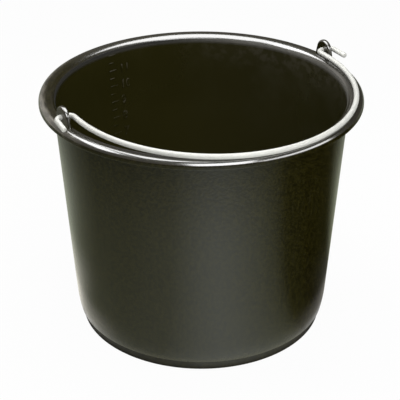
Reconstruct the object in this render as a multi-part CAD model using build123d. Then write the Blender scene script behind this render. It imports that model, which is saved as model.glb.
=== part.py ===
from build123d import *

import math
import os

# Builders bucket: a moulded tub with two ears, and a bent wire bail that swings in them.
# Millimetres. The origin is the centre of the base, +Z is up and the ears are on the X axis.

# Tub
RIM_DIAMETER = 310.0
HEIGHT = 240.0
WALL = 2.5
TAPER = 4.0
RIM_OVERHANG = 13.5
RIM_DROP = 8.0
RIM_EDGE_ROUND = 6.0
RIM_LIP_ROUND = 8.0
SKIRT_ROUND = 0.8
CORNER_RISE = 20.0
CORNER_INSET = 1.6
FOOT_HEIGHT = 10.0
FOOT_STEP = 2.8
FOOT_WALL = 3.0
FOOT_ROUND = 0.9
FLOOR = 3.0
FLOOR_FILLET = 8.0
STEP_ROUND = 0.8

# Ears
EAR_INSET = 5.0
EAR_THICKNESS = 5.0
EAR_TOP_RADIUS = 10.0
EAR_BASE_WIDTH = 26.0
EAR_ROUND = 2.0
PIVOT_LIFT = 8.0
HOLE_CLEARANCE = 0.5
FOOTING_LENGTH = 36.0
FOOTING_ROUND = 5.0

# Bail
WIRE_DIAMETER = 5.0
HOOK_BEND = 5.0
HOOK_PLAY = 0.8
LEG_STRAIGHT = 8.0
TAIL_LENGTH_RIGHT = 23.0
TAIL_LENGTH_LEFT = 18.0
TAIL_DROOP_RIGHT = 0.0
TAIL_DROOP_LEFT = 12.0
WIRE_END_ROUND = 0.8
REST_GAP = 0.3

# Places that follow from the sizes
rim_r = RIM_DIAMETER / 2
slope = math.tan(math.radians(TAPER))
wall_across = WALL / math.cos(math.radians(TAPER))
skirt_low = HEIGHT - RIM_DROP
rim_under = HEIGHT - WALL
pivot_z = HEIGHT + PIVOT_LIFT
ear_out = rim_r - EAR_INSET
ear_in = ear_out - EAR_THICKNESS
leg_x = ear_in - HOOK_PLAY - HOOK_BEND
tail_x = ear_out + HOOK_PLAY + HOOK_BEND
leg_y = -(HOOK_BEND + LEG_STRAIGHT)
bail_reach = leg_x - leg_y
wire_r = WIRE_DIAMETER / 2
roll_r = rim_r - RIM_EDGE_ROUND
rest_rise = math.sqrt((RIM_EDGE_ROUND + wire_r + REST_GAP) ** 2 - (bail_reach - roll_r) ** 2)
rest_tilt = math.degrees(math.asin((PIVOT_LIFT + RIM_EDGE_ROUND - rest_rise) / bail_reach))


def wall_r(z):
    """Outside radius of the straight side wall at height z."""
    return rim_r - RIM_OVERHANG - (skirt_low - z) * slope


def tub_section():
    """Half section of the tub, from the axis outwards."""
    corner_top = FOOT_HEIGHT + CORNER_RISE
    edge_r = wall_r(FOOT_HEIGHT) - CORNER_INSET
    foot_r = edge_r - FOOT_STEP
    floor_under = FOOT_HEIGHT - FLOOR
    wall_low = (wall_r(corner_top), corner_top)
    lining_low = (wall_r(corner_top) - wall_across, corner_top)
    floor_corner = (edge_r - WALL, FOOT_HEIGHT)
    down_wall = (-slope, -1)
    foot = FilletPolyline(
        (0, floor_under),
        (foot_r - FOOT_WALL, floor_under),
        (foot_r - FOOT_WALL, 0),
        (foot_r, 0),
        (foot_r, FOOT_HEIGHT),
        (edge_r, FOOT_HEIGHT),
        radius=[FOOT_ROUND, FOOT_ROUND, FOOT_ROUND, 0],
    )
    rim = FilletPolyline(
        wall_low,
        (wall_r(rim_under), rim_under),
        (rim_r - WALL, rim_under),
        (rim_r - WALL, skirt_low),
        (rim_r, skirt_low),
        (rim_r, HEIGHT),
        (wall_r(HEIGHT) - wall_across, HEIGHT),
        lining_low,
        radius=[
            RIM_LIP_ROUND - WALL,
            RIM_EDGE_ROUND - WALL,
            SKIRT_ROUND,
            SKIRT_ROUND,
            RIM_EDGE_ROUND,
            RIM_LIP_ROUND,
        ],
    )
    outline = [
        foot,
        TangentArc(wall_low, (edge_r, FOOT_HEIGHT), tangent=down_wall),
        rim,
        TangentArc(lining_low, floor_corner, tangent=down_wall),
        Polyline(floor_corner, (0, FOOT_HEIGHT), (0, floor_under)),
    ]
    section = make_face(Curve() + outline)
    section = fillet(section.vertices().sort_by_distance(floor_corner)[0], FLOOR_FILLET)
    return fillet(section.vertices().sort_by_distance((edge_r, FOOT_HEIGHT))[0], STEP_ROUND)


def ear():
    """The ear on +X: a flat tab with a round top and the bail's hole, on its footing on the rim."""
    top = Pos(0, pivot_z) * Circle(EAR_TOP_RADIUS)
    base = Pos(0, rim_under) * Line((-EAR_BASE_WIDTH / 2, 0), (EAR_BASE_WIDTH / 2, 0))
    outline = make_hull(top.edges() + base.edges())
    tab = extrude(Plane.YZ.offset(ear_in) * outline, EAR_THICKNESS)
    tab = fillet(tab.faces().filter_by(Axis.X).edges(), EAR_ROUND)
    hole = Pos(ear_in + EAR_THICKNESS / 2, 0, pivot_z) * Rot(0, 90, 0) * Cylinder(
        wire_r + HOLE_CLEARANCE, 2 * EAR_THICKNESS
    )
    return footing() + tab - hole


def footing():
    """Block that fills the rolled rim below an ear."""
    inner = wall_r(rim_under) - WALL / 2
    outer = rim_r - WALL / 2
    bottom = skirt_low + SKIRT_ROUND
    top = HEIGHT - WALL / 2
    block = FilletPolyline(
        (inner, bottom),
        (inner, top),
        (outer, top),
        (outer, bottom),
        radius=FOOTING_ROUND,
    )
    section = make_face(block + Line((outer, bottom), (inner, bottom)))
    sweep_angle = math.degrees(FOOTING_LENGTH / ear_in)
    pad = revolve(Plane.XZ * section, Axis.Z, revolution_arc=sweep_angle)
    return Rot(0, 0, -sweep_angle / 2) * pad


def bucket_body():
    """The whole moulding."""
    tub = revolve(Plane.XZ * tub_section(), Axis.Z)
    right = ear()
    return tub + right + Rot(0, 0, 180) * right


def hook_line(side, tail_length, droop):
    """Wire centreline from a tail's end, in through the ear, to the end of the straight leg."""
    drop = math.radians(droop)
    return FilletPolyline(
        (side * tail_x, -tail_length * math.cos(drop), -tail_length * math.sin(drop)),
        (side * tail_x, 0, 0),
        (side * leg_x, 0, 0),
        (side * leg_x, leg_y, 0),
        radius=HOOK_BEND,
    )


def wire_bail():
    """The bail, folded down on the rim at the -Y side."""
    right = hook_line(1, TAIL_LENGTH_RIGHT, TAIL_DROOP_RIGHT)
    left = hook_line(-1, TAIL_LENGTH_LEFT, TAIL_DROOP_LEFT)
    bow = ThreePointArc((leg_x, leg_y), (0, -bail_reach), (-leg_x, leg_y))
    path = Wire(right.edges() + bow.edges() + left.edges())
    start = Plane(origin=path @ 0, z_dir=path % 0)
    wire = sweep(start * Circle(wire_r), path=path)
    ends = wire.faces().filter_by(GeomType.PLANE).edges()
    wire = fillet(ends, WIRE_END_ROUND)
    print("wire cut length", round(path.length, 1))
    print("wire volume over section times length", round(wire.volume / (math.pi * wire_r**2 * path.length), 4))
    return Pos(0, 0, pivot_z) * Rot(rest_tilt, 0, 0) * wire


os.makedirs("parts", exist_ok=True)
for name, shape in (("bucket_body", bucket_body()), ("wire_bail", wire_bail())):
    export_step(shape, f"parts/{name}.step")
print("pivot height", pivot_z, "bail reach", bail_reach, "swing", round(180 + 2 * rest_tilt, 2))
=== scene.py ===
import math

import bmesh
import bpy
from mathutils import Matrix, Vector


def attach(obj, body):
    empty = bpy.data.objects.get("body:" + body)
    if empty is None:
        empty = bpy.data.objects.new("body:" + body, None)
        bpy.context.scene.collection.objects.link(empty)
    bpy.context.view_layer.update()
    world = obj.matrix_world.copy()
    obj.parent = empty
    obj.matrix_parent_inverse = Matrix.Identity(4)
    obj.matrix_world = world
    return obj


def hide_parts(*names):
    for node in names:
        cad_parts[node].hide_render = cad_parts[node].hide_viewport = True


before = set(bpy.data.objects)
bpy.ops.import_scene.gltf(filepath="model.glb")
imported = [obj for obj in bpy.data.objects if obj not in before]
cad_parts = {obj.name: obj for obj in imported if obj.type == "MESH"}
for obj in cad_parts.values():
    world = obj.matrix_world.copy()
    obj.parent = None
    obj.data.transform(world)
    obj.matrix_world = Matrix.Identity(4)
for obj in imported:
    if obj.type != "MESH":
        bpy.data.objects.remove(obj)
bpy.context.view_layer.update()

# Builders bucket: a moulded tub with two ears and a litre scale, and a bent wire bail that swings in them.
# Metres, in the frame of the solids: the origin is the centre of the base and the ears are on the X axis.

# Tub
RIM_R = 0.155
HEIGHT = 0.240
WALL = 0.0025
TAPER = math.radians(4.0)
RIM_OVERHANG = 0.0135
RIM_DROP = 0.008
RIM_EDGE_ROUND = 0.006
RIM_LIP_ROUND = 0.008
SKIRT_ROUND = 0.0008
CORNER_RISE = 0.020
CORNER_INSET = 0.0016
FOOT_HEIGHT = 0.010
FOOT_STEP = 0.0028
FOOT_WALL = 0.003
FOOT_ROUND = 0.0009
FLOOR = 0.003
FLOOR_FILLET = 0.008
STEP_ROUND = 0.0008
GATE_R = 0.006
GATE_DEPTH = 0.0006
GATE_ROUND = GATE_DEPTH / 3

# Ears
EAR_INSET = 0.005
EAR_THICKNESS = 0.005
EAR_TOP_R = 0.010
EAR_BASE_WIDTH = 0.026
EAR_ROUND = 0.002
PIVOT_LIFT = 0.008
HOLE_R = 0.003
HOLE_EDGE = 0.0003
FOOTING_LENGTH = 0.036
FOOTING_ROUND = 0.005

# Bail
WIRE_R = 0.0025
HOOK_BEND = 0.005
HOOK_PLAY = 0.0008
LEG_STRAIGHT = 0.008
TAIL_RIGHT = 0.023
TAIL_LEFT = 0.018
DROOP_RIGHT = 0.0
DROOP_LEFT = math.radians(12)
WIRE_END_ROUND = 0.0008
REST_GAP = 0.0003

# Litre scale, raised on the inside of the wall between the ears. A numeral is 0.7 of the size of its type.
SCALE_AZIMUTH = math.radians(100.4)
SCALE_FIRST = 1
SCALE_LAST = 12
LITRES_IN_CUBIC_METRE = 1000
STROKE = 0.0009
STROKE_HEIGHT = 0.0005
TICK_SHORT = 0.006
TICK_LONG = 0.010
NUMERAL_HEIGHT = 0.009
NUMERAL_OFFSET = 0.0125
NUMERAL_ROUND = STROKE_HEIGHT / 4
TYPE_SIZE = NUMERAL_HEIGHT / 0.7

# How finely rounds and runs are divided, and what counts as the same point or as the end of the wire
ROUND_STEPS = 192
CARD_STEPS = 64
FOOTING_STEPS = 16
BEND_STEP = math.radians(9)
BOW_STEP = math.radians(3)
FEWEST_STEPS = 3
RUN_STEP = 0.016
RUN_SLACK = 1e-6
EAR_RING = 48
EAR_FLARE_STEPS = 2
EAR_ROUND_STEPS = 5
HOLE_EDGE_STEPS = 2
WIRE_SIDES = 24
WIRE_END_STEPS = 3
WIRE_END_REACH = 1.01 * WIRE_R
STROKE_STEPS = 2
NUMERAL_STEPS = 4
SMOOTH_ANGLE = math.radians(35)
WIRE_SMOOTH_ANGLE = math.radians(50)
SAME_POINT = 1e-6
JUST_CLEAR = 1e-5

# Colours
PLASTIC_DEEP = (0.0062, 0.0052, 0.0004, 1)
PLASTIC_FADED = (0.0190, 0.0163, 0.0026, 1)
# Paler plastic for rubs and nicks, and as painted light on the lining towards the right ear
PLASTIC_RUBBED_AND_PAINTED_LIGHT = (0.032, 0.030, 0.015, 1)
PLASTIC_SCUFFED = (0.17, 0.165, 0.15, 1)
# The lining is painted paler than the outside plastic: painted light that lifts the shade inside the tub
PAINTED_LIT_LINING_DEEP = (0.0145, 0.0130, 0.0025, 1)
PAINTED_LIT_LINING_FADED = (0.0212, 0.0190, 0.0041, 1)
# Paler still low in the tub: painted light against the shade deep inside
LINING_LOW_PAINTED_LIGHT = (0.0412, 0.0369, 0.0094, 1)
# Painted shade on the rounded inner lip
LIP_PAINTED_SHADE = (0.0066, 0.0060, 0.0042, 1)
# Pale grey: dust, and painted light as glints on the scale and high on the lining
DUST_AND_PAINTED_LIGHT = (0.11, 0.10, 0.08, 1)
RIM_BROWN = (0.20, 0.18, 0.14, 1)
ZINC_BRIGHT = (0.77, 0.77, 0.73, 1)
ZINC_DULL = (0.67, 0.67, 0.63, 1)
ZINC_MARKED = (0.50, 0.50, 0.46, 1)
BLACK = (0, 0, 0, 1)
WHITE = (1, 1, 1, 1)

# Noise in the finishes: how fine it is, how detailed, and how it is stretched if it is
MOTTLE = (22, 5)
STIPPLE = (330, 3)
GRAIN = (950, 2)
DENTS = (70, 2)
PATCHES = (130, 2)
RUBS = (1, 4, (330, 330, 16))
RUB_AREAS = (14, 3)
NICKS = (420, 3)
SMEARS = (18, 5)
SCUFFS = (150, 5)
STREAKS = (1, 4, (60, 420, 420))
DUST_SPECKS = (90, 5)
SPANGLE = (260, 4)
ZINC_MARKS = (900, 3)

# The part of a noise that shows, from the value where it starts to the value where it is full
STIPPLE_SHOWN = (0.35, 0.65)
PATCHES_SHOWN = (0.40, 0.65)
RUBS_SHOWN = (0.60, 0.74)
NICKS_SHOWN = (0.66, 0.74)
SMEARS_SHOWN = (0.45, 0.70)
STREAKS_SHOWN = (0.38, 0.62)
DUST_SHOWN = (0.35, 0.75)
ZINC_MARKS_SHOWN = (0.60, 0.70)
NOISE_MIDDLE = 0.5

# How strongly a mark is laid on, from 0 to 1. A pair is for two places: outside and inside, the inner
# and the outer half of the rim, or between the specks and on them.
STIPPLE_SHARE = 0.7
RUB_STRENGTH = (0.45, 0.15)
# Painted light on the lining towards the right ear, stronger on the smears
SIDE_LIGHT_AND_SMEAR_STRENGTH = (0.25, 0.85)
SCUFF_STRENGTH = (0.3, 0.8)
STREAK_STRENGTH = (0.04, 0.70)
# Painted light high on the lining towards the right ear, in patches
HIGH_LINING_LIGHT_STRENGTH = (0.05, 0.25)
NICK_STRENGTH = 0.5
# Dust on the raised scale, which also stands in for the glints off its strokes as a painted highlight
SCALE_DUST_AND_GLINT = 0.3
WALL_DUST = 0.09
EAR_DUST = 0.5
ZINC_MARK_STRENGTH = 0.35

# Roughness of the finishes, and what wear adds to it
SATIN_WALL = 0.16
DULL_LINING = 0.19
DULL_FOOT = 0.5
WORN_RIM = 0.22
ROUGH_LIP = 0.95
MOTTLE_ROUGH = 0.10
RUB_ROUGH = 0.10
DUST_ROUGH = 0.15
NICK_ROUGH = 0.12
ZINC_ROUGH = (0.48, 0.66)
ZINC_METAL = 0.35

# Polish of the rim. Its lower edge falls outwards, and it is worn off the shanks of the ears and where the
# rim is rubbed.
POLISH_LEAN = 0.012
POLISH_ROUGH = 0.18
POLISH_IOR = 3.4
SHANK_WEAR = 0.85
RUBBED_WEAR = 0.9

# Relief, against the grain's
STIPPLE_RELIEF = 4.0
RUB_RELIEF = 2.0
NICK_RELIEF = 3.0
DENT_RELIEF = 10.0
RELIEF_HEIGHT = 0.00003
PLASTIC_RELIEF = 0.35
ZINC_RELIEF = 0.3

# Camera
AZIMUTH = math.radians(-32.9)
ELEVATION = math.radians(28.65)
DISTANCE = 1.2995
AIM_HEIGHT = 0.119
AIM_ASIDE = -0.0012
LENS = 117.0
SENSOR = 36.0

# Floor, room and lamps. A lamp has its degrees aside from the camera and up, its distance from the middle
# of the rim, its size and its radiance.
FLOOR_SIZE = 12.0
FLOOR_GREY = (0.82, 0.82, 0.82, 1)
FLOOR_GLOW = 0.96
WORLD_FILL = 0.3
SOFTBOXES = [
    ("top_softbox", 180, 84, 0.452, (0.5, 0.52), 2.8),
    ("front_softbox", 14, 33, 1.6, (1.1, 1.0), 3.2),
    ("right_softbox", 66, 14, 1.6, (1.6, 0.65), 2.2),
    ("left_softbox", -108, 50, 1.6, (1.3, 0.45), 3.4),
]

# Cards round the bucket, which only reflections show. The floor card has a painted contact shadow (a dark
# ring) and painted light (a pale ring) close to the foot, and its painted light falls off outwards, each
# from the radius where it starts to the radius where it is full.
CARD_NEAR = 0.117
CARD_FAR = 2.5
CARD_TALL = 2.6
CARD_LIFT = 0.001
CARD_GLOW = 1.36
CARD_CONTACT_SHADOW = (0.127, 0.1235)
CARD_CONTACT_SHADOW_DEPTH = 0.85
CARD_LIT_RING = (0.139, 0.125)
CARD_LIT_RING_STRENGTH = 0.5
CARD_LIGHT_FALLOFF = (0.30, 0.52)
CARD_LIGHT_FALLOFF_DEPTH = 0.5
CARD_EDGE = (CARD_FAR, 0.99 * CARD_FAR)
CEILING_SHADE = (0.15, 0.15, 0.14, 1)

# Light on the floor card beside the foot: the degrees aside and the radii where it starts and is full, and
# how strong it is on the right and on the left. It ends towards the back. Right passes into left in front,
# between these parts of a whole turn.
SIDE_LIGHTS = [
    ((68, 105), (0.25, 0.13), (0.03, 0.29)),
    ((35, 70), (0.165, 0.137), (0.10, 0.27)),
]
SIDE_END = (170, 130)
SIDE_LEFT = (0.6, 0.4)
SIDE_COLOUR = (2.0, 1.9, 1.75, 1)

# Shades of the cards by degrees aside from the camera, with their tint and the power each colour fades by.
# On the floor card they are painted light and shadow: bright in front, and dark to the right where the
# bucket's own shadow falls.
FLOOR_TINT = (0.94, 1.0, 0.94)
FLOOR_FADE = (1.0, 1.0, 1.2)
FLOOR_LIGHT_AND_SHADOW = [
    (-180, 0.48),
    (-120, 0.41),
    (-100, 0.27),
    (-80, 0.20),
    (-50, 0.29),
    (-20, 0.48),
    (0, 0.90),
    (10, 1.0),
    (20, 0.92),
    (40, 0.54),
    (50, 0.32),
    (60, 0.05),
    (80, 0.0),
    (110, 0.02),
    (120, 0.18),
    (130, 0.32),
    (150, 0.46),
    (180, 0.48),
]
SURROUND_TINT = (1.0, 0.95, 0.88)
SURROUND_FADE = (1.0, 1.0, 1.0)
SURROUND_SHADES = [
    (-180, 0.08),
    (-158, 0.12),
    (-140, 0.34),
    (-122, 0.26),
    (-105, 0.13),
    (-60, 0.08),
    (60, 0.07),
    (150, 0.04),
    (180, 0.08),
]

# Places that follow from the sizes
slope = math.tan(TAPER)
across = WALL / math.cos(TAPER)
skirt_low = HEIGHT - RIM_DROP
rim_under = HEIGHT - WALL
pivot_z = HEIGHT + PIVOT_LIFT
ear_out = RIM_R - EAR_INSET
ear_in = ear_out - EAR_THICKNESS
ear_flare = EAR_FLARE_STEPS * 2 * math.pi / EAR_RING
leg_x = ear_in - HOOK_PLAY - HOOK_BEND
tail_x = ear_out + HOOK_PLAY + HOOK_BEND
bail_reach = leg_x + HOOK_BEND + LEG_STRAIGHT
roll_r = RIM_R - RIM_EDGE_ROUND
rest_rise = math.sqrt((RIM_EDGE_ROUND + WIRE_R + REST_GAP) ** 2 - (bail_reach - roll_r) ** 2)
rest_tilt = math.asin((PIVOT_LIFT + RIM_EDGE_ROUND - rest_rise) / bail_reach)
towards_camera = math.atan2(-math.cos(AZIMUTH), math.sin(AZIMUTH))

# Zones of the tub, from the place where a finish starts to the place where it is full.
# Depths are into the wall from the lining, and reaches are towards the right ear's side or the rubbed side.
LINING_DEPTH = (across * 0.75, across * 0.25)
SCALE_DEPTH = (-STROKE_HEIGHT / 4, -STROKE_HEIGHT / 2)
LINING_HEIGHT = (0.008, 0.009)
SCALE_HEIGHT = (0.031, 0.033)
FOOT_ZONE = (FOOT_HEIGHT, FOOT_HEIGHT - STEP_ROUND)
DUST_HEIGHT = (0.035, 0.012)
# Painted light on the lining, growing towards the bottom of the tub
LOW_PAINTED_LIGHT_HEIGHT = (0.22, 0.04)
SMEAR_HEIGHT = (0.12, 0.20)
HIGH_LINING_LIGHT_HEIGHT = (0.20, 0.230)
SCUFF_HEIGHT = (0.2395, 0.2375)
LIP_HEIGHT = (0.230, 0.236)
POLISH_HEIGHT = (0.2356, 0.2368)
ROLL_HEIGHT = (0.231, 0.236)
ROLL_TOP = (HEIGHT + 0.0015, HEIGHT + 0.0005)
ROLL_OUTER_R = (0.1475, 0.1515)
EAR_HEIGHT = (HEIGHT, HEIGHT + 0.002)
EAR_FLAT_X = (ear_out - 0.0008, ear_out - 0.0002)
SHANK_HEIGHT = (pivot_z + 0.006, pivot_z + 0.002)
RIGHT_EAR_SIDE = math.radians(-5)
RIGHT_EAR_REACH = (0.02, 0.13)
RUBBED_SIDE = math.radians(150)
RUBBED_REACH = (0.10, 0.143)


def wall_r(z):
    """Outside radius of the straight side wall at height z."""
    return RIM_R - RIM_OVERHANG - (skirt_low - z) * slope


def lining_r(z):
    """Inside radius of the straight side wall at height z."""
    return wall_r(z) - across


# Modelling by hand


def start(adder, **settings):
    """A new primitive alone in the selection, open in edit mode, with its place in its mesh."""
    bpy.ops.object.select_all(action="DESELECT")
    adder(**settings)
    bpy.ops.object.transform_apply(location=True, rotation=True, scale=True)
    bpy.ops.object.mode_set(mode="EDIT")
    bpy.ops.mesh.select_mode(type="VERT")
    bpy.ops.mesh.select_all(action="SELECT")


def start_point(place):
    """A piece that is one vertex, ready to be drawn out into a line."""
    start(bpy.ops.mesh.primitive_plane_add, size=WALL)
    bpy.ops.mesh.merge(type="CENTER")
    bpy.ops.transform.translate(value=place)


def pick(kind, test):
    """Selects the vertices or edges of the open piece whose point or two points pass the test."""
    bpy.ops.mesh.select_mode(type=kind)
    bpy.ops.mesh.select_all(action="DESELECT")
    mesh = bmesh.from_edit_mesh(bpy.context.object.data)
    for item in mesh.verts if kind == "VERT" else mesh.edges:
        points = [item.co] if kind == "VERT" else [v.co for v in item.verts]
        if test(*points):
            item.select_set(True)
    mesh.select_flush_mode()
    bmesh.update_edit_mesh(bpy.context.object.data)


def close_piece(name, smooth_angle=SMOOTH_ANGLE):
    """Leaves edit mode with faces outwards and smooth shading, and names the piece."""
    bpy.ops.mesh.select_all(action="SELECT")
    bpy.ops.mesh.remove_doubles(threshold=SAME_POINT)
    bpy.ops.mesh.normals_make_consistent(inside=False)
    bpy.ops.object.mode_set(mode="OBJECT")
    piece = bpy.context.object
    piece.name = name
    piece.data.name = name
    bpy.ops.object.shade_smooth_by_angle(angle=smooth_angle)
    return piece


def weigh_normals(piece):
    """Lets the broad faces set the shading where a round runs into a flat."""
    bpy.context.view_layer.objects.active = piece
    weigh = piece.modifiers.new("weigh", "WEIGHTED_NORMAL")
    weigh.keep_sharp = True
    bpy.ops.object.modifier_apply(modifier=weigh.name)


def follow(corners, rounds, bend_step=BEND_STEP):
    """Draws what is selected along a route, straight between the corners and spun round each of them."""
    here = Vector(corners[0])
    for corner, after, radius in zip(corners[1:], corners[2:] + [None], rounds + [0]):
        corner = Vector(corner)
        way = (corner - here).normalized()
        turn = way.angle(Vector(after) - corner) if radius else 0
        trim = radius * math.tan(turn / 2)
        run = (corner - here).length - trim
        steps = math.ceil(run / RUN_STEP - RUN_SLACK)
        for _ in range(steps):
            bpy.ops.mesh.extrude_region_move(TRANSFORM_OT_translate={"value": way * run / steps})
        here = corner - way * trim
        if turn:
            onward = (Vector(after) - corner).normalized()
            inwards = (onward - way * way.dot(onward)).normalized()
            bpy.ops.mesh.spin(
                steps=max(FEWEST_STEPS, round(turn / bend_step)),
                angle=-turn,
                center=here + inwards * radius,
                axis=way.cross(onward).normalized(),
            )
            here = corner + onward * trim


def spin_round(steps=ROUND_STEPS, angle=2 * math.pi):
    """Turns what is selected about the bucket's axis."""
    bpy.ops.mesh.spin(steps=steps, angle=-angle, center=(0, 0, 0), axis=(0, 0, 1))


def gentle_corner(top, bottom, spare):
    """Corner and round that lead the wall into the foot's edge, with room left for the next round."""
    down = Vector((-math.sin(TAPER), 0, -math.cos(TAPER)))
    span = Vector(bottom) - Vector(top)
    reach = span.length_squared / (2 * span.dot(down))
    knuckle = Vector(top) + down * reach
    turn = down.angle(Vector(bottom) - knuckle)
    return knuckle, (reach - spare) / math.tan(turn / 2)


def tub_shell():
    """The turned tub: its section from the underside, up the wall, over the rim and down to the floor."""
    corner_top = FOOT_HEIGHT + CORNER_RISE
    edge_r = wall_r(FOOT_HEIGHT) - CORNER_INSET
    foot_r = edge_r - FOOT_STEP
    under = FOOT_HEIGHT - FLOOR
    outer, outer_round = gentle_corner(
        (wall_r(corner_top), 0, corner_top), (edge_r, 0, FOOT_HEIGHT), STEP_ROUND
    )
    inner, inner_round = gentle_corner(
        (lining_r(corner_top), 0, corner_top), (edge_r - WALL, 0, FOOT_HEIGHT), FLOOR_FILLET
    )
    section = [
        ((0, 0, under + GATE_DEPTH), 0),
        ((GATE_R, 0, under + GATE_DEPTH), GATE_ROUND),
        ((GATE_R + GATE_DEPTH, 0, under), GATE_ROUND),
        ((foot_r - FOOT_WALL, 0, under), FOOT_ROUND),
        ((foot_r - FOOT_WALL, 0, 0), FOOT_ROUND),
        ((foot_r, 0, 0), FOOT_ROUND),
        ((foot_r, 0, FOOT_HEIGHT), STEP_ROUND / 2),
        ((edge_r, 0, FOOT_HEIGHT), STEP_ROUND),
        (outer, outer_round),
        ((wall_r(rim_under), 0, rim_under), RIM_LIP_ROUND - WALL),
        ((RIM_R - WALL, 0, rim_under), RIM_EDGE_ROUND - WALL),
        ((RIM_R - WALL, 0, skirt_low), SKIRT_ROUND),
        ((RIM_R, 0, skirt_low), SKIRT_ROUND),
        ((RIM_R, 0, HEIGHT), RIM_EDGE_ROUND),
        ((lining_r(HEIGHT), 0, HEIGHT), RIM_LIP_ROUND),
        (inner, inner_round),
        ((edge_r - WALL, 0, FOOT_HEIGHT), FLOOR_FILLET),
        ((0, 0, FOOT_HEIGHT), 0),
    ]
    corners = [Vector(corner) for corner, _ in section]
    start_point(corners[0])
    follow(corners, [radius for _, radius in section[1:-1]])
    bpy.ops.mesh.select_all(action="SELECT")
    spin_round()
    tub = close_piece("tub_shell")
    weigh_normals(tub)
    return tub


def footing(side):
    """Block that fills the rolled rim below an ear."""
    sweep = FOOTING_LENGTH / ear_in
    facing = Matrix.Rotation((0 if side > 0 else math.pi) - sweep / 2, 3, "Z")
    low = skirt_low + SKIRT_ROUND
    top = HEIGHT - WALL / 2
    inside = wall_r(rim_under) - WALL / 2
    outside = RIM_R - WALL / 2
    corners = ((inside, low), (inside, top), (outside, top), (outside, low))
    section = [facing @ Vector((r, 0, z)) for r, z in corners]
    start_point(section[0])
    follow(section, [FOOTING_ROUND, FOOTING_ROUND])
    bpy.ops.mesh.select_all(action="SELECT")
    bpy.ops.mesh.edge_face_add()
    spin_round(FOOTING_STEPS, sweep)
    return close_piece("footing")


def on_outline(p):
    """On the outside of an ear, not at its hole."""
    return math.hypot(p.y, p.z - pivot_z) > 2 * HOLE_R


def on_flat(a, b, x):
    """Both ends on one flat of an ear."""
    return abs(a.x - x) < SAME_POINT and abs(b.x - x) < SAME_POINT


def round_ear(a, b, x):
    """Along the outside of a flat of an ear, but not where the ear stands on the rim."""
    above_foot = max(a.z, b.z) > rim_under + JUST_CLEAR
    return on_flat(a, b, x) and on_outline(a) and on_outline(b) and above_foot


def round_hole(a, b, x):
    """Along the hole in a flat of an ear."""
    return on_flat(a, b, x) and not on_outline(a) and not on_outline(b)


def ear(side, name):
    """A tab with a round top: a ring drawn out round the hole, its lower half pulled down to the rim."""
    foot = footing(side)
    face_x = side * ear_in
    start(
        bpy.ops.mesh.primitive_circle_add,
        vertices=EAR_RING,
        radius=HOLE_R,
        fill_type="NOTHING",
        location=(face_x, 0, pivot_z),
        rotation=(0, math.pi / 2, 0),
    )
    bpy.ops.mesh.extrude_edges_move()
    grow = EAR_TOP_R / HOLE_R
    bpy.ops.transform.resize(value=(1, grow, grow), center_override=(face_x, 0, pivot_z))
    flank = EAR_TOP_R * math.sin(ear_flare) - JUST_CLEAR
    pick("VERT", lambda p: on_outline(p) and abs(p.z - pivot_z) < flank)
    bpy.ops.mesh.dissolve_verts()
    pick("VERT", lambda p: on_outline(p) and p.z < pivot_z)
    flare = EAR_BASE_WIDTH / 2 / (EAR_TOP_R * math.cos(ear_flare))
    bpy.ops.transform.resize(value=(1, flare, 0), center_override=(face_x, 0, rim_under))
    bpy.ops.mesh.select_all(action="SELECT")
    bpy.ops.mesh.extrude_region_move(TRANSFORM_OT_translate={"value": (side * EAR_THICKNESS, 0, 0)})
    bpy.ops.mesh.select_all(action="SELECT")
    bpy.ops.mesh.normals_make_consistent(inside=False)
    for flat in (side * ear_in, side * ear_out):
        pick("EDGE", lambda a, b: round_ear(a, b, flat))
        bpy.ops.mesh.bevel(offset=EAR_ROUND, segments=EAR_ROUND_STEPS, affect="EDGES")
        pick("EDGE", lambda a, b: round_hole(a, b, flat))
        bpy.ops.mesh.bevel(offset=HOLE_EDGE, segments=HOLE_EDGE_STEPS, affect="EDGES")
    tab = close_piece(name)
    weigh_normals(tab)
    foot.select_set(True)
    tab.select_set(True)
    bpy.ops.object.join()
    return tab


def at_end(a, b, end):
    """On the ring that ends the wire."""
    return max((a - end).length, (b - end).length) < WIRE_END_REACH


def wire_bail():
    """The bail as it is bent: from one cut end through an ear, round the bow and out through the other."""
    tilt = Matrix.Rotation(rest_tilt, 3, "X")
    flat = [
        (tail_x, -TAIL_RIGHT * math.cos(DROOP_RIGHT), -TAIL_RIGHT * math.sin(DROOP_RIGHT)),
        (tail_x, 0, 0),
        (leg_x, 0, 0),
        (leg_x, -bail_reach, 0),
        (-leg_x, -bail_reach, 0),
        (-leg_x, 0, 0),
        (-tail_x, 0, 0),
        (-tail_x, -TAIL_LEFT * math.cos(DROOP_LEFT), -TAIL_LEFT * math.sin(DROOP_LEFT)),
    ]
    route = [Vector((0, 0, pivot_z)) + tilt @ Vector(p) for p in flat]
    facing = (route[1] - route[0]).to_track_quat("Z", "Y").to_euler()
    start(
        bpy.ops.mesh.primitive_circle_add,
        vertices=WIRE_SIDES,
        radius=WIRE_R,
        fill_type="NOTHING",
        location=route[0],
        rotation=facing,
    )
    follow(route, [HOOK_BEND, HOOK_BEND, leg_x, leg_x, HOOK_BEND, HOOK_BEND], BOW_STEP)
    for end in (route[-1], route[0]):
        pick("EDGE", lambda a, b: at_end(a, b, end))
        bpy.ops.mesh.edge_face_add()
        pick("EDGE", lambda a, b: at_end(a, b, end))
        bpy.ops.mesh.bevel(offset=WIRE_END_ROUND, segments=WIRE_END_STEPS, affect="EDGES")
    return close_piece("bail_wire", WIRE_SMOOTH_ANGLE)


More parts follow.
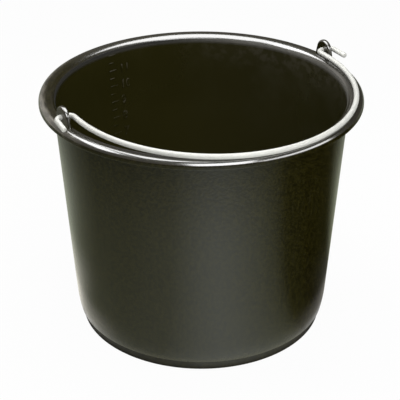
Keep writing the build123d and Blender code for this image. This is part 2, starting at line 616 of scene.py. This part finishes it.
def litre_height(litres):
    """Height of the water when the tub holds so many litres, taking the inside for a plain cone."""
    low_r = lining_r(FOOT_HEIGHT)
    cone = math.pi * slope**2 / 3
    filled = (litres / LITRES_IN_CUBIC_METRE + cone * (low_r / slope) ** 3) / cone
    return FOOT_HEIGHT + filled ** (1 / 3) - low_r / slope


def set_in_wall(piece, height, aside):
    """Turns a flat piece drawn in the XY plane to face inwards and lays it on the lining."""
    turn = SCALE_AZIMUTH - aside / lining_r(height)
    out = Vector((math.cos(turn), math.sin(turn), 0))
    right = Vector((math.sin(turn), -math.cos(turn), 0))
    up = Vector((out.x * math.sin(TAPER), out.y * math.sin(TAPER), math.cos(TAPER)))
    inwards = right.cross(up)
    place = out * lining_r(height) + Vector((0, 0, height))
    piece.matrix_world = Matrix.Translation(place) @ Matrix((right, up, inwards)).transposed().to_4x4()
    bpy.ops.object.select_all(action="DESELECT")
    piece.select_set(True)
    bpy.context.view_layer.objects.active = piece
    bpy.ops.object.transform_apply(location=True, rotation=True, scale=True)
    return piece


def scale_tick(width):
    """A raised bar with its edges rounded, half sunk in the wall."""
    start(bpy.ops.mesh.primitive_plane_add, size=1)
    bpy.ops.transform.resize(value=(width, STROKE, 1))
    bpy.ops.transform.translate(value=(width / 2, 0, -STROKE_HEIGHT))
    bpy.ops.mesh.extrude_region_move(TRANSFORM_OT_translate={"value": (0, 0, 2 * STROKE_HEIGHT)})
    bpy.ops.mesh.select_all(action="SELECT")
    bpy.ops.mesh.bevel(offset=STROKE_HEIGHT / 2, segments=STROKE_STEPS, affect="EDGES")
    return close_piece("stroke")


def scale_numeral(number):
    """A raised number in plain type, made a mesh."""
    bpy.ops.object.select_all(action="DESELECT")
    bpy.ops.object.text_add()
    letter = bpy.context.object
    letter.data.body = str(number)
    letter.data.size = TYPE_SIZE
    letter.data.extrude = STROKE_HEIGHT
    letter.data.bevel_depth = NUMERAL_ROUND
    letter.data.resolution_u = NUMERAL_STEPS
    bpy.ops.object.convert(target="MESH")
    bpy.ops.object.mode_set(mode="EDIT")
    return close_piece("numeral")


def litre_scale():
    """Ticks for half and whole litres and numbers for the whole ones, moulded up the inside of the wall."""
    marks = []
    for halves in range(2 * SCALE_FIRST, 2 * SCALE_LAST + 1):
        height = litre_height(halves / 2)
        whole = halves % 2 == 0
        marks.append(set_in_wall(scale_tick(TICK_LONG if whole else TICK_SHORT), height, 0))
        if whole and height + NUMERAL_HEIGHT / 2 < skirt_low:
            numeral = scale_numeral(halves // 2)
            marks.append(set_in_wall(numeral, height - NUMERAL_HEIGHT / 2, NUMERAL_OFFSET))
    bpy.ops.object.select_all(action="DESELECT")
    for mark in marks:
        mark.select_set(True)
    bpy.context.view_layer.objects.active = marks[0]
    bpy.ops.object.join()
    marks[0].name = "litre_scale"
    marks[0].data.name = "litre_scale"
    return marks[0]


tub = tub_shell()
ears = [ear(1, "ear_right"), ear(-1, "ear_left")]
scale = litre_scale()
bail = wire_bail()
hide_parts("bucket_body")
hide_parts("wire_bail")
for piece in [tub, scale] + ears:
    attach(piece, "tub")
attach(bail, "bail")

# Looks


class Value:
    """A socket of a look. Sums written on it add Math nodes."""

    def __init__(self, look, socket):
        self.look = look
        self.socket = socket

    def work(self, operation, first, second):
        """The Math node of one sum."""
        return self.look.add("ShaderNodeMath", {"operation": operation}, {0: first, 1: second})

    def __add__(self, other):
        return self.work("ADD", self, other)

    def __radd__(self, other):
        return self.work("ADD", other, self)

    def __sub__(self, other):
        return self.work("SUBTRACT", self, other)

    def __rsub__(self, other):
        return self.work("SUBTRACT", other, self)

    def __mul__(self, other):
        return self.work("MULTIPLY", self, other)

    def __rmul__(self, other):
        return self.work("MULTIPLY", other, self)

    def __pow__(self, other):
        return self.work("POWER", self, other)


class Look:
    """The nodes of a material or of the world."""

    def __init__(self, owner):
        owner.use_nodes = True
        self.tree = owner.node_tree
        self.tree.nodes.clear()

    def add(self, kind, settings=None, sockets=None, output=0):
        """A node of any kind with its settings, then its socket values or links, as one of its outputs."""
        node = self.tree.nodes.new(kind)
        for name, setting in (settings or {}).items():
            if name == "stops":
                set_stops(node.color_ramp.elements, setting)
            else:
                setattr(node, name, setting)
        for name, given in (sockets or {}).items():
            socket = find_socket(node.inputs, name)
            if isinstance(given, Value):
                self.tree.links.new(given.socket, socket)
            else:
                socket.default_value = given
        return Value(self, find_socket(node.outputs, output)) if node.outputs else None

    def parts(self, vector):
        """The three numbers of a vector."""
        return [self.add("ShaderNodeSeparateXYZ", None, {0: vector}, axis) for axis in range(3)]

    def bearing(self, along, out):
        """The angle of a point about the axis, from the line along which it lies straight out."""
        return self.add("ShaderNodeMath", {"operation": "ARCTAN2"}, {0: along, 1: out})

    def noise(self, place, scale, detail, stretch=(1, 1, 1)):
        """Soft noise from 0 to 1, stretched along the axes."""
        where = self.add("ShaderNodeMapping", None, {"Vector": place, "Scale": stretch})
        return self.add("ShaderNodeTexNoise", None, {"Vector": where, "Scale": scale, "Detail": detail})

    def rise(self, value, low, high):
        """A mask that climbs smoothly from 0 to 1 between two values."""
        return self.add(
            "ShaderNodeMapRange",
            {"interpolation_type": "SMOOTHSTEP"},
            {"Value": value, "From Min": low, "From Max": high},
        )

    def specks(self, place, noise, shown):
        """A mask of the part of a noise that shows."""
        return self.rise(self.noise(place, *noise), *shown)

    def tint(self, amount, under, over):
        """One colour laid over another."""
        return self.add(
            "ShaderNodeMix",
            {"data_type": "RGBA"},
            {"Factor_Float": amount, "A_Color": under, "B_Color": over},
            "Result_Color",
        )


def set_stops(elements, stops):
    """The places and colours of a ramp."""
    while len(elements) < len(stops):
        elements.new(1)
    for element, (place, colour) in zip(elements, stops):
        element.position = place
        element.color = (*colour, 1)


def find_socket(sockets, name):
    """A socket by its number, its identifier or its name."""
    if isinstance(name, int):
        return sockets[name]
    return next(socket for socket in sockets if name in (socket.identifier, socket.name))


def blend(mask, off, on):
    """A number that is one thing where a mask is 0 and another where it is 1."""
    return off + (on - off) * mask


def toward(x, y, side):
    """How far a point lies towards a side of the bucket."""
    return x * math.cos(side) + y * math.sin(side)


def black_plastic():
    """Moulded black polyethylene: satin outside, dull inside, a polished worn rim and dust at the foot."""
    material = bpy.data.materials.new("black_polyethylene")
    look = Look(material)
    place = look.add("ShaderNodeTexCoord", output="Object")
    x, y, z = look.parts(place)
    radius = (x * x + y * y) ** 0.5
    depth = radius - z * slope - lining_r(0)

    # Zones
    inside = look.rise(depth, *LINING_DEPTH) * look.rise(z, *LINING_HEIGHT)
    raised = look.rise(depth, *SCALE_DEPTH) * look.rise(z, *SCALE_HEIGHT)
    foot = look.rise(z, *FOOT_ZONE)
    on_ear = look.rise(z, *EAR_HEIGHT)
    ear_flat = look.rise((x * x) ** 0.5, *EAR_FLAT_X) * on_ear
    shank = on_ear * look.rise(z, *SHANK_HEIGHT)
    lip = look.rise(z, *LIP_HEIGHT) * inside
    toward_right_ear = look.rise(toward(x, y, RIGHT_EAR_SIDE), *RIGHT_EAR_REACH)
    rubbed_out = toward(x, y, RUBBED_SIDE)
    rubbed_along = toward(x, y, RUBBED_SIDE + math.pi / 2)
    on_roll = look.rise(z, *ROLL_HEIGHT) * look.rise(z, *ROLL_TOP)
    outer = look.rise(radius, *ROLL_OUTER_R)
    rubbed = look.rise(rubbed_out, *RUBBED_REACH) * on_roll * (1 - inside)
    rim = look.rise(z + POLISH_LEAN * (radius - roll_r), *POLISH_HEIGHT)
    rim = rim * (1 - ear_flat) * (1 - SHANK_WEAR * shank) * (1 - RUBBED_WEAR * rubbed * (1 - outer))

    # Wear, and masks of painted light on the lining
    mottle = look.noise(place, *MOTTLE)
    grain = look.noise(place, *GRAIN)
    dents = look.noise(place, *DENTS)
    stipple = look.specks(place, STIPPLE, STIPPLE_SHOWN)
    patches = look.specks(place, PATCHES, PATCHES_SHOWN)
    rubs = look.specks(place, RUBS, RUBS_SHOWN) * look.noise(place, *RUB_AREAS)
    nicks = look.specks(place, NICKS, NICKS_SHOWN) * rim
    smears = look.specks(place, SMEARS, SMEARS_SHOWN) * look.rise(z, *SMEAR_HEIGHT)
    scuffs = blend(look.noise(place, *SCUFFS), *SCUFF_STRENGTH) * toward_right_ear * lip * look.rise(z, *SCUFF_HEIGHT)
    dust = look.rise(z, *DUST_HEIGHT) * look.specks(place, DUST_SPECKS, DUST_SHOWN)
    # Painted light high on the lining towards the right ear, broken into patches
    high_lining_light = toward_right_ear * inside * look.rise(z, *HIGH_LINING_LIGHT_HEIGHT) * blend(patches, *HIGH_LINING_LIGHT_STRENGTH)
    turn = look.bearing(rubbed_along, rubbed_out)
    ring = look.add("ShaderNodeCombineXYZ", None, {0: turn * RIM_R, 1: radius, 2: z})
    streaks = look.specks(ring, STREAKS, STREAKS_SHOWN) * rubbed

    # Colour
    faded = (1 - STIPPLE_SHARE) * mottle + STIPPLE_SHARE * stipple
    colour = look.tint(faded, PLASTIC_DEEP, PLASTIC_FADED)
    # The lining's colours are painted light, paler than the outside to lift the shade inside the tub
    lining = look.tint(mottle, PAINTED_LIT_LINING_DEEP, PAINTED_LIT_LINING_FADED)
    # Paler towards the bottom: painted light against the shade deep in the tub
    lining = look.tint(look.rise(z, *LOW_PAINTED_LIGHT_HEIGHT), lining, LINING_LOW_PAINTED_LIGHT)
    # The inner lip gets a painted shade over the lining's colour
    colour = look.tint(inside, colour, look.tint(lip, lining, LIP_PAINTED_SHADE))
    colour = look.tint(rubs * blend(inside, *RUB_STRENGTH), colour, PLASTIC_RUBBED_AND_PAINTED_LIGHT)
    # Painted light over the lining towards the right ear, paler still on the smears high up
    colour = look.tint(toward_right_ear * inside * blend(smears, *SIDE_LIGHT_AND_SMEAR_STRENGTH), colour, PLASTIC_RUBBED_AND_PAINTED_LIGHT)
    colour = look.tint(scuffs, colour, PLASTIC_SCUFFED)
    colour = look.tint(nicks * NICK_STRENGTH, colour, PLASTIC_RUBBED_AND_PAINTED_LIGHT)
    colour = look.tint(streaks * blend(outer, *STREAK_STRENGTH), colour, RIM_BROWN)
    # Dust on the raised scale, partly a painted highlight for the glints off its strokes
    colour = look.tint(raised * patches * SCALE_DUST_AND_GLINT, colour, DUST_AND_PAINTED_LIGHT)
    colour = look.tint(dust * (1 - inside) * (1 - foot) * WALL_DUST, colour, DUST_AND_PAINTED_LIGHT)
    colour = look.tint(ear_flat * EAR_DUST, colour, DUST_AND_PAINTED_LIGHT)
    # Painted light high on the lining towards the right ear
    colour = look.tint(high_lining_light, colour, DUST_AND_PAINTED_LIGHT)

    # Roughness and relief
    rough = SATIN_WALL + MOTTLE_ROUGH * (mottle - NOISE_MIDDLE) + RUB_ROUGH * rubs + DUST_ROUGH * dust
    rough = rough + inside * (DULL_LINING - SATIN_WALL) + foot * (DULL_FOOT - SATIN_WALL)
    rough = blend(lip, rough, ROUGH_LIP)
    rough = blend(rim, rough, WORN_RIM) + nicks * NICK_ROUGH
    relief = grain + STIPPLE_RELIEF * stipple * (1 - inside) + RUB_RELIEF * rubs
    relief = relief + NICK_RELIEF * nicks + DENT_RELIEF * dents * rim
    normal = look.add(
        "ShaderNodeBump",
        None,
        {"Strength": PLASTIC_RELIEF, "Distance": RELIEF_HEIGHT, "Height": relief},
    )
    surface = look.add(
        "ShaderNodeBsdfPrincipled",
        None,
        {
            "Base Color": colour,
            "Roughness": rough,
            "Coat Weight": rim,
            "Coat Roughness": POLISH_ROUGH,
            "Coat IOR": POLISH_IOR,
            "Normal": normal,
        },
    )
    look.add("ShaderNodeOutputMaterial", None, {"Surface": surface})
    return material


def galvanised():
    """Bright zinc on drawn wire, with a faint mottle and fine marks."""
    material = bpy.data.materials.new("galvanised_wire")
    look = Look(material)
    place = look.add("ShaderNodeTexCoord", output="Object")
    spangle = look.noise(place, *SPANGLE)
    marks = look.specks(place, ZINC_MARKS, ZINC_MARKS_SHOWN)
    colour = look.tint(spangle, ZINC_BRIGHT, ZINC_DULL)
    colour = look.tint(marks * ZINC_MARK_STRENGTH, colour, ZINC_MARKED)
    normal = look.add(
        "ShaderNodeBump",
        None,
        {"Strength": ZINC_RELIEF, "Distance": RELIEF_HEIGHT, "Height": spangle + marks},
    )
    surface = look.add(
        "ShaderNodeBsdfPrincipled",
        None,
        {
            "Base Color": colour,
            "Metallic": ZINC_METAL,
            "Roughness": blend(spangle, *ZINC_ROUGH),
            "Normal": normal,
        },
    )
    look.add("ShaderNodeOutputMaterial", None, {"Surface": surface})
    return material


def seen_directly(look):
    """1 for a ray from the camera, or off shiny metal or plastic, and 0 for one that only carries light."""
    rays = ("Is Camera Ray", "Is Glossy Ray", "Is Transmission Ray")
    straight, shiny, through = [look.add("ShaderNodeLightPath", output=ray) for ray in rays]
    return straight + shiny + through


def pale_floor():
    """A white studio floor that keeps a soft shadow."""
    material = bpy.data.materials.new("pale_floor")
    look = Look(material)
    matt = look.add("ShaderNodeBsdfDiffuse", None, {"Color": FLOOR_GREY})
    glow = look.add("ShaderNodeEmission", None, {"Color": WHITE, "Strength": 1.0})
    surface = look.add("ShaderNodeMixShader", None, {0: seen_directly(look) * FLOOR_GLOW, 1: matt, 2: glow})
    look.add("ShaderNodeOutputMaterial", None, {"Surface": surface})
    return material


def graded_card(name, shades, tint, fade):
    """A card whose shade follows the bearing about the bucket.

    Its glow is painted light and shade. On the floor its painted light falls off outwards and it is lit
    beside the foot, with a ring of painted light and a painted contact shadow close to it.
    """
    material = bpy.data.materials.new(name)
    look = Look(material)
    place = look.add("ShaderNodeTexCoord", output="Object")
    turned = look.add("ShaderNodeMapping", None, {"Vector": place, "Rotation": (0, 0, -towards_camera)})
    x, y = look.parts(turned)[:2]
    radius = (x * x + y * y) ** 0.5

    # The bearing is a part of a whole turn, and half a turn is towards the camera
    bearing = look.bearing(y, x) * (0.5 / math.pi) + 0.5
    aside = look.add("ShaderNodeMath", {"operation": "ABSOLUTE"}, {0: bearing - 0.5}) * 360
    on_left = look.rise(bearing, *SIDE_LEFT)
    stops = [
        ((degrees + 180) / 360, [part * shade**power for part, power in zip(tint, fade)])
        for degrees, shade in shades
    ]
    # Painted light and shadow by bearing; on the floor card the bucket's shadow is dark to the right
    shade = look.add("ShaderNodeValToRGB", {"stops": stops}, {0: bearing})
    on_floor = look.rise(radius, *CARD_EDGE)
    # Painted light that falls off outwards on the floor
    shade = look.tint(look.rise(radius, *CARD_LIGHT_FALLOFF) * CARD_LIGHT_FALLOFF_DEPTH * on_floor, shade, BLACK)
    for degrees, radii, strengths in SIDE_LIGHTS:
        light = look.rise(aside, *degrees) * look.rise(aside, *SIDE_END) * look.rise(radius, *radii)
        shade = look.tint(light * blend(on_left, *strengths), shade, SIDE_COLOUR)
    # A ring of painted light by the foot, and inside it a painted contact shadow
    shade = look.tint(look.rise(radius, *CARD_LIT_RING) ** 2 * CARD_LIT_RING_STRENGTH, shade, WHITE)
    shade = look.tint(look.rise(radius, *CARD_CONTACT_SHADOW) * CARD_CONTACT_SHADOW_DEPTH, shade, BLACK)
    glow = look.add("ShaderNodeEmission", None, {"Color": shade, "Strength": CARD_GLOW})
    look.add("ShaderNodeOutputMaterial", None, {"Surface": glow})
    return material


def dim_ceiling():
    """A plain dim card."""
    material = bpy.data.materials.new("dim_ceiling")
    look = Look(material)
    glow = look.add("ShaderNodeEmission", None, {"Color": CEILING_SHADE, "Strength": 1.0})
    look.add("ShaderNodeOutputMaterial", None, {"Surface": glow})
    return material


def paint(piece, material):
    """Gives a piece one material."""
    piece.data.materials.clear()
    piece.data.materials.append(material)


plastic = black_plastic()
for piece in [tub, scale] + ears:
    paint(piece, plastic)
paint(bail, galvanised())

# Studio


def studio_card(name, foot, head, material):
    """A card right round the bucket, seen only in reflections.

    It is a line turned about the axis, from the radius and height of its foot to those of its head.
    """
    foot, head = Vector((foot[0], 0, foot[1])), Vector((head[0], 0, head[1]))
    start_point(foot)
    bpy.ops.mesh.extrude_region_move(TRANSFORM_OT_translate={"value": head - foot})
    bpy.ops.mesh.select_all(action="SELECT")
    spin_round(CARD_STEPS)
    card = close_piece(name)
    paint(card, material)
    card.visible_camera = False
    card.visible_diffuse = False
    card.visible_transmission = False
    card.visible_shadow = False


def direction(bearing, height):
    """The way out from the bucket at a bearing, raised by an angle."""
    level = math.cos(height)
    return Vector((math.cos(bearing) * level, math.sin(bearing) * level, math.sin(height)))


def softbox(name, aside, up, distance, size, radiance):
    """A large soft lamp that looks at the middle of the rim."""
    out = direction(towards_camera + math.radians(aside), math.radians(up))
    place = Vector((0, 0, HEIGHT)) + out * distance
    bpy.ops.object.light_add(type="AREA", location=place, rotation=out.to_track_quat("Z", "Y").to_euler())
    lamp = bpy.context.object
    lamp.name = name
    lamp.data.shape = "RECTANGLE"
    lamp.data.size, lamp.data.size_y = size
    lamp.data.energy = math.pi * radiance * size[0] * size[1]
    lamp.visible_camera = False


start(bpy.ops.mesh.primitive_plane_add, size=FLOOR_SIZE)
floor = close_piece("studio_floor")
paint(floor, pale_floor())

floor_look = graded_card("floor_card", FLOOR_LIGHT_AND_SHADOW, FLOOR_TINT, FLOOR_FADE)
studio_card("floor_card", (CARD_NEAR, CARD_LIFT), (CARD_FAR, CARD_LIFT), floor_look)
surround_look = graded_card("surround", SURROUND_SHADES, SURROUND_TINT, SURROUND_FADE)
studio_card("surround", (CARD_FAR, CARD_LIFT), (CARD_FAR, CARD_TALL), surround_look)
studio_card("ceiling", (CARD_FAR, CARD_TALL), (0, CARD_TALL), dim_ceiling())

for box in SOFTBOXES:
    softbox(*box)

bpy.context.scene.world = bpy.data.worlds.new("studio")
room = Look(bpy.context.scene.world)
brightness = blend(seen_directly(room), WORLD_FILL, 1)
around = room.add("ShaderNodeBackground", None, {"Color": WHITE, "Strength": brightness})
room.add("ShaderNodeOutputWorld", None, {"Surface": around})

# Camera
aim = Vector((0, 0, AIM_HEIGHT)) + Vector((math.cos(AZIMUTH), math.sin(AZIMUTH), 0)) * AIM_ASIDE
back = direction(towards_camera, ELEVATION)
bpy.ops.object.camera_add(location=aim + back * DISTANCE, rotation=back.to_track_quat("Z", "Y").to_euler())
camera = bpy.context.object
camera.data.lens = LENS
camera.data.sensor_width = SENSOR
bpy.context.scene.camera = camera
bpy.context.scene.view_settings.view_transform = "Standard"
